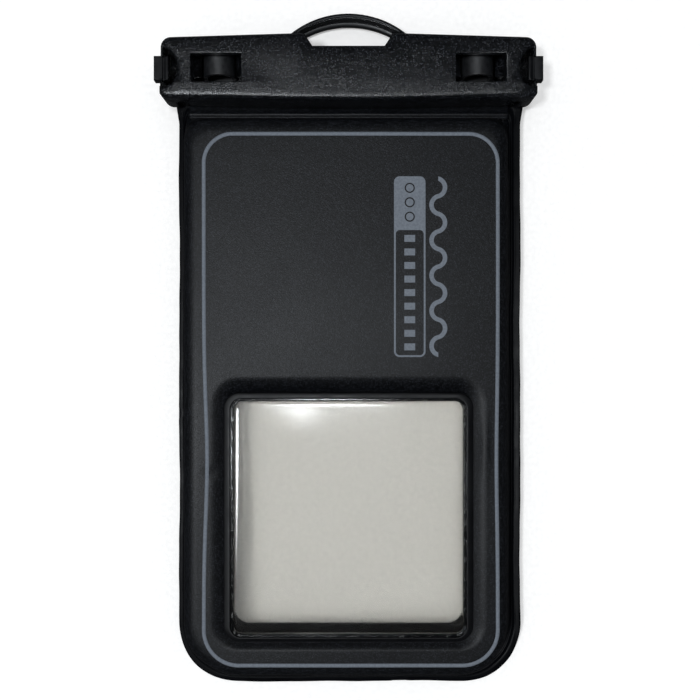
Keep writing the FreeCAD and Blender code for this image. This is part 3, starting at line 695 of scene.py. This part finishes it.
def back_skin():
    """Padded back: the skin's rings, with low waves over the panel and a wavering weld.

    The panel's waves, dent and fold fade out on its walls. The weld is pushed out and up by other waves, which
    grow from the wall's foot, and it flares towards the clip. Its flange tilts up at the right, and down at the
    left and at the closed end.
    """
    rows = skin_rows()
    points = carried(rows)
    x, y, z = points[:, :, 0], points[:, :, 1], points[:, :, 2]
    z += eased(z, PAD_TOP - 2.0, 2.0) * panel_dip(x, y)
    weld_row = int(np.argmax(rows[:, 0] >= FOOT_HALF - FOOT_INSET - 0.01))
    past = np.arange(len(rows))[:, None] - weld_row
    x -= LEAN * eased(np.abs(x), *WALL_EASE) * np.clip(1.0 - past / LEAN_RINGS, 0.0, 1.0)
    share = eased(z, SEAM + 3.0, -2.5)
    waver_edge(x, y, z, share)
    for far_x, far_y, *spot in BULGES:
        bulge = bell(x, y, 1.0, *spot) * share
        x += far_x * bulge
        y += far_y * bulge
    upper = z > SEAM + 0.3
    for way, (start, width, tilt) in ((x, RIGHT_TILT), (-x, LEFT_TILT), (-y, END_TILT)):
        z += tilt * held(way, start, width) * upper
    faces = quads(points)[:, ::-1]
    middle = points.reshape(-1, 3)[faces].mean(axis=1)
    mouth = (np.abs(middle[:, 0]) < MOUTH_HALF) & (middle[:, 1] > SLOPE_HEAD) & (middle[:, 2] < MOUTH_LIP)
    faces = faces[~mouth]
    made = piece(
        "back_skin_film", points, faces, SKIN_FILM, "grained_black_film", replaces=["back_skin"], closed=False,
    )
    second_material(made, WELD_FILM, faces[:, -1] // points.shape[1] >= weld_row)
    thicken(made)


def window_rim():
    """Welded rim: a closed profile of sloping band, groove and bead, carried round the camera window.

    The bead wavers in height by a sum of sine waves, as a hand-fed weld does.
    """
    half, low, high = rim_high[0], rim_low[1], rim_high[1]
    top, under = rim_high[2], rim_low[2] + 0.05

    def at(side, head, foot, z, z_head=None):
        radius = 6.0 - 0.7 * side
        return station(half - side, low + foot, high - head, radius, radius, z, z_head)

    profile = [
        at(1.2, 1.1, 0.4, BASIN - 0.8, HEAD_BASIN - 0.6), at(0.9, 0.8, 0.1, BASIN - 0.3, HEAD_BASIN + 0.4),
        at(1.0, 0.85, 0.3, top - 0.75, top - 0.6), at(1.25, 1.1, 0.5, top - 0.6, top - 0.3),
        at(2.9, 2.75, 1.5, top - 0.17), at(3.15, 3.0, 1.7, top - 0.2), at(3.35, 3.2, 1.95, top - 0.55),
        at(3.6, 3.35, 2.15, top - 0.58), at(3.75, 3.5, 2.35, top - 0.34), at(3.95, 3.7, 2.6, top - 0.28),
        at(4.15, 3.85, 2.8, top - 0.42), at(4.3, 3.95, 3.05, top - 0.8), at(4.3, 3.95, 3.05, top - 1.6),
        at(3.4, 2.9, 2.2, under), at(0.9, 0.9, 0.9, under),
    ]
    groove, bead, wall = 5, 7, 11
    points = carried(np.vstack(profile))
    points[bead:wall, :, 2] += waves(points[bead:wall, :, 0], points[bead:wall, :, 1], BEAD_WAVES)
    faces = quads(points, wrap_rows=True)
    made = piece("window_rim_film", points, faces, RIM_FILM, "glossy_black_film", replaces=["window_rim"])
    rows = np.arange(len(faces)) // points.shape[1]
    second_material(made, BEAD_FILM, (rows >= groove) & (rows <= wall))
    levels = made.modifiers.new("rounded", "SUBSURF")
    levels.levels = levels.render_levels = 1


def camera_window():
    """Clear pane formed as a low plateau: rings shrink from its flange over a rounded slope to its middle.

    The upper and the lower face are alike. The plateau carries sine waves and one low swelling, a bell curve,
    near its upper left.
    """
    half, low, high = pane_high[0] - 0.06, pane_low[1] + 0.06, pane_high[1] - 0.06
    middle = (low + high) / 2

    def at(side, head, foot, z):
        radius = max(4.0 - side * 0.6, 0.02)
        return station(half - side, low + foot, high - head, radius, radius, z)

    def over(base):
        flange = at(0.0, 0.0, 0.0, base)
        slope = at(1.55, 1.45, 0.8, base + 0.03)
        shoulder = at(2.6, 1.9, 2.2, base + 0.60)
        plateau = at(3.7, 2.5, 3.5, base + 0.72)
        centre = station(1.0, middle - 1.0, middle + 1.0, 0.02, 0.02, base + 0.72)
        return np.vstack([
            stretch(flange, slope, 2), stretch(slope, shoulder, 7, lift=smooth),
            stretch(shoulder, plateau, 5, lift=hill), stretch(plateau, centre, 34), centre[None],
        ])

    points = carried(np.vstack([over(pane_low[2])[::-1], over(pane_low[2] + FILM - 0.1)]))
    x, y = points[:, :, 0], points[:, :, 1]
    inside = eased(np.abs(x), half - 3.0, -6.0) * eased(y, high - 1.0, -5.0) * eased(y, low + 3.0, 6.0)
    points[:, :, 2] += (waves(x, y, PANE_WAVES) + bell(x, y, *SWELLING)) * inside
    piece(
        "camera_window_film", points, quads(points), CLEAR_PANE, "clear_film",
        replaces=["camera_window"], extra=capped(points),
    )


# The ink's height over and under the panel, and the printed line's width and corner radii
INK_LIFT = 0.05
LINE_WIDTH = 1.25
LINE_RADII = (12.4, 10.3)

# How far the printed line lies to the right, how far its left and right sides are drawn in, where they are in Y and
# over what reach, and how far down its lower side lies
LINE_RIGHT = 0.75
LINE_DRAWN_IN = (1.1, 0.45)
LINE_DRAWN_AT = (-38.0, 26.0)
LINE_DOWN = 0.5


def printed_border():
    """Grey line round the panel: a thin closed band that lies on the panel's waves, drawn in at its middle."""
    low, high = corners("printed_border")
    low_radius, high_radius = LINE_RADII
    profile = [(0.0, -INK_LIFT), (0.0, 0.03), (0.6, INK_LIFT), (LINE_WIDTH, 0.03), (LINE_WIDTH, -INK_LIFT)]
    points = carried(np.vstack([
        inset(by, high[0], low[1], high[1] - by, low_radius - by, high_radius - by, PAD_TOP + lift)
        for by, lift in profile
    ]))
    x, y = points[:, :, 0], points[:, :, 1]
    middle, reach = LINE_DRAWN_AT
    drawn_in = np.where(x < 0, *LINE_DRAWN_IN) * bell(0.0, y, 1.0, 0.0, middle, 1.0, reach)
    x += LINE_RIGHT - np.sign(x) * drawn_in * (np.abs(x) > 30.0)
    y -= np.where(y < -90.0, LINE_DOWN, 0.0)
    points[:, :, 2] += panel_dip(x, y)
    faces = quads(points, wrap_rows=True)
    piece("printed_border_line", points, faces, INK, "grey_ink", replaces=["printed_border"])


# Points nearer than this, in metres, are joined, and faces that turn by less than this, in degrees, are made one
JOINED_WITHIN = 2e-6
FLAT_BELOW = 0.4


def merged_copy(node_name):
    """A copy of a CAD node whose loose triangles are joined at their shared points."""
    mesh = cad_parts[node_name].data.copy()
    work = bmesh.new()
    work.from_mesh(mesh)
    bmesh.ops.remove_doubles(work, verts=work.verts, dist=JOINED_WITHIN)
    bmesh.ops.recalc_face_normals(work, faces=work.faces)
    bmesh.ops.dissolve_limit(work, angle_limit=math.radians(FLAT_BELOW), verts=work.verts, edges=work.edges)
    work.to_mesh(mesh)
    work.free()
    mesh.materials.clear()
    return mesh


def taken(mesh):
    """A mesh's points, in millimetres."""
    points = np.empty(len(mesh.vertices) * 3)
    mesh.vertices.foreach_get("co", points)
    return points.reshape(-1, 3) / MM


def put_back(mesh, points):
    """Sets a mesh's points, in millimetres."""
    mesh.vertices.foreach_set("co", (points * MM).ravel())
    mesh.update()


def printed_shapes():
    """The badge and the waves, laid down onto the panel's waves."""
    for name in ("printed_badge", "printed_waves"):
        mesh = merged_copy(name)
        points = taken(mesh)
        side = np.where(points[:, 2] > PAD_TOP + INK_LIFT, INK_LIFT, -INK_LIFT)
        points[:, 2] = PAD_TOP + side + panel_dip(points[:, 0], points[:, 1])
        put_back(mesh, points)
        placed(name + "_ink", mesh, INK, "pouch", [name])


# The jaw's low edge: how deep it is rolled, the power at its ends and how much more it is in the middle, over which
# half width, then where the middles of its rounded corners lie, how far they go out, and what is finely divided there
ROLL = 5.0
ROLL_POWER = 3.0
ROLL_MORE = 2.0
ROLL_HALF = 52.0
CORNER_X = 55.5
CORNER_Y = 89.0
CORNER_OUT = 0.8
DIVIDED_FROM_X = 55.0
DIVIDED_ABOVE = 0.8
DIVIDED_CUTS = 3


def fuller_low_edge(mesh):
    """Squares the jaw's rolled low edge: the share of the roll's depth is raised to 3 at the ends, 5 in the middle.

    Its low corners are rounded out by up to 0.8 mm times the sine of twice the angle round the corner.
    """
    work = bmesh.new()
    work.from_mesh(mesh)
    bmesh.ops.triangulate(work, faces=work.faces)
    corner = [
        edge for edge in work.edges
        if edge.calc_length() > DIVIDED_ABOVE * MM
        and all(abs(v.co.x) > DIVIDED_FROM_X * MM and v.co.y < CORNER_Y * MM for v in edge.verts)
    ]
    bmesh.ops.subdivide_edges(work, edges=corner, cuts=DIVIDED_CUTS, use_grid_fill=True)
    work.to_mesh(mesh)
    work.free()
    points = taken(mesh)
    x, y, z = points[:, 0], points[:, 1], points[:, 2]
    below = np.maximum(jaw_high[2] - z, 0.0)
    beyond = y - jaw_low[1]
    power = ROLL_POWER + ROLL_MORE * np.clip(1.0 - (x / ROLL_HALF) ** 2, 0.0, 1.0)
    roll = (below < ROLL) & ((beyond < ROLL) | ((beyond < 6.2) & (below < 0.5)))
    z[:] = np.where(roll, jaw_high[2] - ROLL * (below / ROLL) ** power, z)
    past_x, past_y = np.abs(x) - CORNER_X, CORNER_Y - y
    away = np.hypot(past_x, past_y)
    out = np.where((past_x > 0) & (past_y > 0), 2.0 * past_x * past_y / np.maximum(away**2, 1e-6), 0.0)
    grow = CORNER_OUT * out * eased(away, 4.0, 2.0) / np.maximum(away, 1e-6)
    x += np.sign(x) * past_x * grow
    y -= past_y * grow
    x[:] = np.clip(x, -jaw_high[0], jaw_high[0])
    put_back(mesh, points)


def foam_core(mesh):
    """Draws the foam's outer walls in by 0.35 mm, its right one 0.8 mm more, its head 0.9 mm, and sinks its rim."""
    points = taken(mesh)
    x, y, z = points.T.copy()
    points[:, 0] -= np.sign(x) * 0.35 * eased(np.abs(x), *WALL_EASE) + 0.8 * eased(x, *WALL_EASE)
    points[:, 1] += 0.35 * eased(y, -100.0, -6.0) - 0.9 * eased(y, 68.0, 5.0)
    near_edge = np.maximum(eased(np.abs(x), 43.0, 5.0), eased(y, 66.0, 5.0))
    points[:, 2] -= 0.7 * near_edge * eased(z, 6.0, 4.0)
    put_back(mesh, points)


def hook_reach(mesh):
    """Lets a hook reach 0.3 mm further out and 0.5 mm further up, eased in along it."""
    points = taken(mesh)
    points[:, 0] += np.sign(points[:, 0]) * 0.3 * eased(np.abs(points[:, 0]), 61.0, 2.0)
    points[:, 1] += 0.5 * eased(points[:, 1], 93.5, 2.0)
    put_back(mesh, points)


def moulded(name, node_name, material, body, smooth_below=30.0, shape=None):
    """A moulded piece from its CAD form: joined, smooth over its rounded edges and sharp at its corners."""
    mesh = merged_copy(node_name)
    if shape:
        shape(mesh)
    shade_smooth(mesh)
    mesh.set_sharp_from_angle(angle=math.radians(smooth_below))
    made = placed(name, mesh, material, body, [node_name])
    even = made.modifiers.new("even", "WEIGHTED_NORMAL")
    even.keep_sharp = True


def moulded_pieces():
    """Both jaws, the foam, the loops and the snap bows."""
    moulded(
        "camera_side_jaw_moulding", "camera_side_jaw", CLIP_PLASTIC, "camera_side_jaw", shape=fuller_low_edge,
    )
    moulded("foam_pad_core", "foam_pad", FOAM, "pouch", shape=foam_core)
    moulded("screen_side_jaw_moulding", "screen_side_jaw", CLIP_PLASTIC, "pouch")
    for side in ("right", "left"):
        loop, bow = f"lanyard_loop_{side}", f"snap_bow_{side}"
        moulded(f"lanyard_hook_{side}", loop, SMOOTH_PLASTIC, "pouch", shape=hook_reach)
        # The snap bows wear the plastic painted lighter: painted sheen
        moulded(f"snap_spring_{side}", bow, PAINTED_SHEEN_PLASTIC, "pouch", smooth_below=20.0)


def arc_strip(name, centre_y, radius, reach, profile, body):
    """A closed profile carried along an arc over the finger hole.

    A point at an angle a lies at X = (radius + out) sin a and Y = centre + (radius + out) cos a, with a up to where
    X is the reach.
    """
    profile = np.array(profile)
    turn = np.linspace(-1.0, 1.0, 61) * math.asin(reach / radius)
    out = radius + profile[None, :, 0]
    points = np.empty((len(turn), len(profile), 3))
    points[:, :, 0] = out * np.sin(turn)[:, None]
    points[:, :, 1] = centre_y + out * np.cos(turn)[:, None]
    points[:, :, 2] = profile[None, :, 1]
    # The arch's strips wear the plastic painted lighter: painted sheen
    piece(name, points, quads(points), PAINTED_SHEEN_PLASTIC, "grained_black_plastic", body=body, extra=capped(points))


ARCH_RADIUS = 31.8
ARCH_FACE = 7.5
HOLE_RADIUS = 33.1
HOLE_TOP = 112.65


def arch_details():
    """Ridge along the arch's crest, and the narrow step inside its screen-side half."""
    turn = np.linspace(0.0, math.pi, 7)
    ridge = [(0.32 * math.cos(a), ARCH_FACE + 0.42 * math.sin(a)) for a in turn]
    ridge += [(-0.3, ARCH_FACE - 0.3), (0.3, ARCH_FACE - 0.3)]
    arc_strip("arch_ridge", jaw_high[1] - ARCH_RADIUS, ARCH_RADIUS - 1.05, 17.6, ridge, "camera_side_jaw")
    step = [(0.3, 3.75), (-0.05, 3.7), (-0.75, 3.45), (-0.92, 3.2), (-0.92, 1.6), (0.3, 1.6)]
    arc_strip("arch_step", HOLE_TOP - HOLE_RADIUS, HOLE_RADIUS, 15.4, step, "pouch")


TRAY_TAPER = 3.0
TRAY_HEAD_SLOPE = 8.0
OPENING_HALF = 39.7
SCREEN_WELD = 3.0


def front_frame():
    """Screen-side sheet: rings from the window's edge over a rounded bend and up the sloping side to the weld."""
    low, high = front_low[1] + SCREEN_WELD, front_high[1] - SCREEN_WELD
    bottom, seat = frame_low[2], SEAM - WELD_THICKNESS
    tray_head = FOOT_HEAD - TRAY_HEAD_SLOPE
    edge = inset(0.0, OPENING_HALF, low, high, 5.0, 5.0, bottom + 0.45)
    lip = inset(-0.3, OPENING_HALF, low, high + 0.3, 5.3, 5.3, bottom + 0.06)
    flat = inset(-0.8, OPENING_HALF, low, high + 0.8, 5.8, 5.8, bottom)
    bend = inset(TRAY_TAPER + 1.2, FOOT_HALF, FOOT_END, tray_head - 1.2, 15.0, 4.0, bottom)
    side = inset(TRAY_TAPER - 0.7, FOOT_HALF, FOOT_END, tray_head + 1.6, 17.0, 4.0, bottom + 1.1, bottom + 0.9)
    foot = inset(0.2, FOOT_HALF, FOOT_END, FOOT_HEAD - 0.6, 18.0, 3.4, seat - 0.25)
    level = inset(-0.5, FOOT_HALF, FOOT_END, FOOT_HEAD + 0.4, 18.4, 3.0, seat)
    outer = inset(0.25, BAG_HALF, BAG_END, BAG_NECK - 0.1, 19.8, 1.6, seat)
    turned = inset(0.0, BAG_HALF, BAG_END, BAG_NECK, 20.0, 1.3, seat + 0.2)
    top = inset(0.02, BAG_HALF, BAG_END, BAG_NECK, 20.0, 1.3, SEAM - SHEET_GAP)
    roll_plan, roll_lift = rolled(40)
    points = carried(np.vstack([
        stretch(edge, lip, 4, lift=hill), stretch(lip, flat, 3), stretch(flat, bend, 12),
        stretch(bend, side, 6, roll_plan, roll_lift), stretch(side, foot, 8), stretch(foot, level, 4, lift=smooth),
        stretch(level, outer, 5), stretch(outer, turned, 3), stretch(turned, top, 2), top[None],
    ]))
    x, y, z = points[:, :, 0], points[:, :, 1], points[:, :, 2]
    waver_edge(x, y, z, eased(z, bottom + 1.5, 2.0))
    made = piece(
        "front_frame_film", points, quads(points), BORDER_FILM, "smooth_black_film",
        replaces=["front_frame"], closed=False,
    )
    thicken(made)


def across(name, line, steps, columns, material, slot, sag=None, **more):
    """A lip of the mouth: a strip of film carried straight across the pouch, with a face over each end."""
    profile = rounded_strip(line, steps)
    x = np.linspace(-LIP_HALF, LIP_HALF, columns)
    points = np.empty((len(x), len(profile), 3))
    points[:, :, 0] = x[:, None]
    points[:, :, 1] = profile[None, :, 0]
    points[:, :, 2] = profile[None, :, 1]
    if sag is not None:
        points[:, :, 2] += sag(points[:, :, 0], points[:, :, 1])
    return piece(name, points, quads(points), material, slot, extra=capped(points), **more)


def rounded_strip(line, steps):
    """A line of y and z made a closed strip: the line, smoothed, and the same line shifted down by the film."""
    line = np.array(line)
    span = np.concatenate([[0], np.cumsum(np.hypot(*np.diff(line, axis=0).T))])
    even = np.linspace(0, span[-1], steps * (len(line) - 1) + 1)
    y = np.interp(even, span, line[:, 0])
    z = np.interp(even, span, line[:, 1])
    for _ in range(4):
        z[1:-1] = (z[:-2] + 2 * z[1:-1] + z[2:]) / 4
    upper = np.stack([y, z], axis=1)
    lower = upper[::-1] - np.array([0.0, FILM])
    return np.vstack([upper, lower])


# The flap's creases, a sine wave across the pouch: height, radians per millimetre and phase
CREASE_HEIGHT = 0.10
CREASE_TURN = 0.21
CREASE_PHASE = 0.6


def mouth_lips():
    """The mouth's two lips: the camera-side flap bends from the padded head into the clip, the other lies under it."""
    start, bend = LIP_HEAD, jaw_low[1] + 3.6
    line = [
        (start - 0.75, MOUTH_LIP - 0.1), (start - 0.1, MOUTH_LIP - 0.6), (start + 0.45, MOUTH_LIP + 0.1),
        (start + 1.0, MOUTH_LIP + 0.15), (start + 2.2, MOUTH_LIP - 0.7), (bend, WELD_TOP), (flap_high[1], WELD_TOP),
    ]

    def crease(x, y):
        return CREASE_HEIGHT * np.sin(x * CREASE_TURN + CREASE_PHASE) * eased(y, start, 3.0) * eased(y, bend, -2.0)

    flap = across(
        "neck_flap_film", line, 8, 120, SKIN_FILM, "grained_black_film",
        sag=crease, replaces=["neck_flap"], body=None,
    )
    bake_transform(flap)
    lip = [(y, SEAM - 0.03) for y in (FOOT_HEAD - 0.6, BAG_NECK + 2.0, frame_high[1])]
    across("mouth_lip_film", lip, 6, 60, BORDER_FILM, "smooth_black_film")


def flat_film(name, low, high, corner, thickness, table, material, slot, replaces, hole=None):
    """A film that lies nearly flat: rings shrink from its edge to its middle or hole, above and below, over waves."""
    half = high[0]
    middle, reach = (low[1] + high[1]) / 2, (high[1] - low[1]) / 2

    def over(z):
        outer = station(half, low[1], high[1], corner, corner, z)
        if hole:
            inner = station(*hole, z)
        else:
            inner = station(2.0, middle - reach + half - 2.0, middle + reach - half + 2.0, 0.05, 0.05, z)
        return np.vstack([stretch(outer, inner, 30), inner[None]])

    points = carried(np.vstack([over(high[2])[::-1], over(high[2] - thickness)]))
    x, y = points[:, :, 0], points[:, :, 1]
    inside = eased(np.abs(x), half, -10.0) * eased(np.abs(y - middle), reach, -10.0)
    points[:, :, 2] += waves(x, y, table) * inside
    faces = quads(points, wrap_rows=bool(hole))
    piece(name, points, faces, material, slot, replaces=[replaces], extra=() if hole else capped(points))


def hidden_films():
    """The screen window, and the pocket's lining round the camera window."""
    flat_film(
        "front_window_film", front_low, front_high, 8.0, 0.35, SCREEN_WAVES, CLEAR_FRONT, "clear_film", "front_window",
    )
    low = (0.0, FOOT_END + 1.2, 0.0)
    high = (lining_high[0] - 0.3, FOOT_HEAD - HEAD_SLOPE * 0.6 - 0.8, 9.75)
    flat_film(
        "pocket_lining_film", low, high, 19.0, 0.2, LINING_WAVES, BORDER_FILM, "smooth_black_film", "pocket_lining",
        hole=(rim_high[0] + 0.05, rim_low[1] - 0.05, rim_high[1] + 0.05, 6.0, 6.0),
    )


def finish_cad_nodes():
    """Material of the hidden seal, which keeps its CAD shape."""
    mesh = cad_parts["seal_strip"].data
    mesh.materials.clear()
    mesh.materials.append(SEAL_RUBBER)


# Studio, in metres and watts

LAMP_COLOUR = (0.91, 0.955, 1.0)
LAMP_AIM = (0.0, 0.0, 0.01)
SKY_COLOUR = (0.92, 0.96, 1.0)
FLOOR_REACH = 1.6
FLOOR_GAP = 0.0001


def lamp(name, place, size, watts):
    """A soft rectangular lamp, turned towards the pouch."""
    light = bpy.data.lights.new(name, "AREA")
    light.shape = "RECTANGLE"
    light.size, light.size_y = size
    light.energy = watts
    light.color = LAMP_COLOUR
    obj = bpy.data.objects.new(name, light)
    bpy.context.scene.collection.objects.link(obj)
    obj.location = place
    obj.rotation_euler = (obj.location - Vector(LAMP_AIM)).to_track_quat("Z", "Y").to_euler()


def surroundings():
    """Bluish white world: dim in gloss, brighter for matt surfaces and for glass, and white behind the scene."""
    world = bpy.data.worlds.new("surroundings")
    world.use_nodes = True
    tree = world.node_tree
    ray = node(tree, "ShaderNodeLightPath").outputs
    base = ramp(tree, ray["Is Diffuse Ray"], SKY_BASE, SKY_ON_MATT, 0.0, 1.0)
    dress(tree, tree.nodes["Background"], {"Color": SKY_COLOUR, "Strength": glow(tree, ray, base, SKY_GLOW)})
    return world


def studio():
    """Pale floor, its surroundings, two soft lamps, and the camera at the photograph's place."""
    scene = bpy.context.scene
    scene.view_settings.view_transform = "Standard"
    scene.world = surroundings()
    level = cad_box[0][2] - FLOOR_GAP
    square = [(x * FLOOR_REACH, y * FLOOR_REACH, level) for x, y in ((-1, -1), (1, -1), (1, 1), (-1, 1))]
    mesh = bpy.data.meshes.new("floor")
    mesh.from_pydata(square, [], [(0, 1, 2, 3)])
    floor = bpy.data.objects.new("floor", mesh)
    scene.collection.objects.link(floor)
    floor.data.materials.append(pale_floor())
    lamp("left_lamp", (-0.60, -0.21, 1.60), (0.22, 0.22), 11.0)
    lamp("overhead_lamp", (-0.05, 0.07, 1.50), (0.18, 0.16), 3.9)
    camera = bpy.data.cameras.new("camera")
    camera.sensor_fit = "HORIZONTAL"
    camera.angle = 2 * math.atan(PHOTO_FIELD / 2 / CAMERA_ABOVE_CLIP)
    camera.clip_start = 0.01
    view = bpy.data.objects.new("camera", camera)
    view.location = (CAMERA_X * MM, CAMERA_Y * MM, (jaw_high[2] + CAMERA_ABOVE_CLIP) * MM)
    scene.collection.objects.link(view)
    scene.camera = view


studio()
back_skin()
window_rim()
camera_window()
front_frame()
mouth_lips()
hidden_films()
printed_border()
printed_shapes()
moulded_pieces()
arch_details()
finish_cad_nodes()
